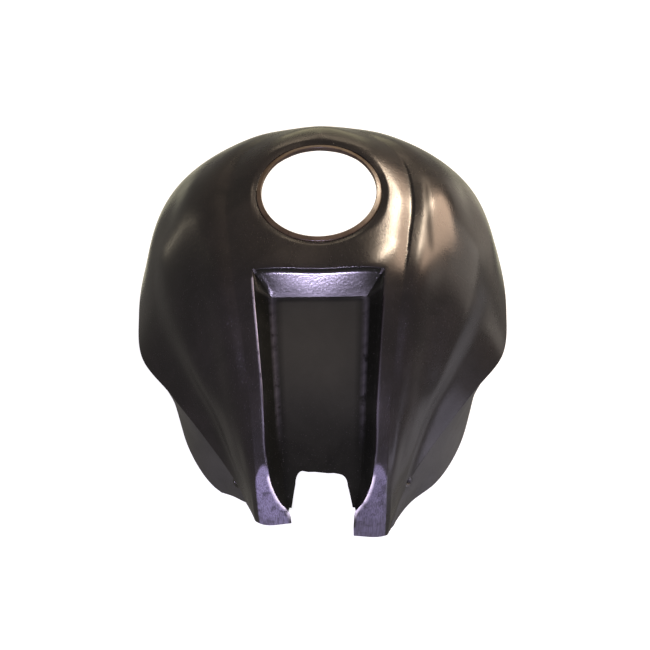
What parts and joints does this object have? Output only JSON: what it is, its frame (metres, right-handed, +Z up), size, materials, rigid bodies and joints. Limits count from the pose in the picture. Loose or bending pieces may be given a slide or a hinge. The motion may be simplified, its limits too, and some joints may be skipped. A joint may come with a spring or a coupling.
{
  "type": "motorcycle fuel tank shell",
  "caption": "Open-bottomed moulded shell of a sports motorcycle's fuel tank, with a round filler seat, a centre channel, knee panels, threaded fixings and a hinged rear bracket.",
  "frame": {"origin": "middle of the bounding box, on the plane that the shell stands on", "axes": "+X is the rider's right, +Y is forwards towards the nose, +Z is up"},
  "size_m": [0.3702, 0.4028, 0.2263],
  "materials": {
    "skin": "black moulded laminate, satin gloss with orange peel",
    "channel": "black moulded laminate, satin gloss",
    "panel": "black moulded laminate with a faint green cast",
    "ring": "black cast resin, satin",
    "core": "resin-soaked foam core, matt",
    "block": "sealed beech",
    "insert": "blackened, dull",
    "plated": "zinc plated",
    "stud_steel": "turned stainless steel",
    "bush": "black nylon",
    "bracket": "black powder coat",
    "rubber": "moulded rubber, matt"
  },
  "bodies": {
    "tank": {"upper_shell": "skin", "centre_channel": "channel", "left_knee_panel": "panel", "right_knee_panel": "panel", "filler_ring": "ring", "filler_doubler": "core", "left_foot_block": "block", "right_foot_block": "block", "left_foot_insert": "insert", "right_foot_insert": "insert", "left_side_insert": "insert", "right_side_insert": "insert", "left_stiffener": "core", "right_stiffener": "core", "front_bow": "core", "left_stud_cup": "plated", "right_stud_cup": "plated", "left_pivot_lug": "plated", "right_pivot_lug": "plated", "left_pivot_bush": "bush", "right_pivot_bush": "bush"},
    "bracket": {"frame_bracket": "bracket", "bracket_pad": "rubber", "pivot_pin": "stud_steel", "pivot_clip": "plated"},
    "left_quarter_turn": {"left_stud": "stud_steel", "left_stud_ring": "plated"},
    "right_quarter_turn": {"right_stud": "stud_steel", "right_stud_ring": "plated"}
  },
  "joints": [
    {"name": "rear_pivot", "type": "hinge", "parent": "tank", "child": "bracket", "pos_m": [0, -0.138, 0.078], "axis": [-1, 0, 0], "range_deg": [0, 45]},
    {"name": "left_stud_turn", "type": "hinge", "parent": "tank", "child": "left_quarter_turn", "pos_m": [-0.15, 0.04, 0.026], "axis": [-1, 0, 0], "range_deg": [0, 90]},
    {"name": "right_stud_turn", "type": "hinge", "parent": "tank", "child": "right_quarter_turn", "pos_m": [0.15, 0.04, 0.026], "axis": [1, 0, 0], "range_deg": [0, 90]}
  ]
}
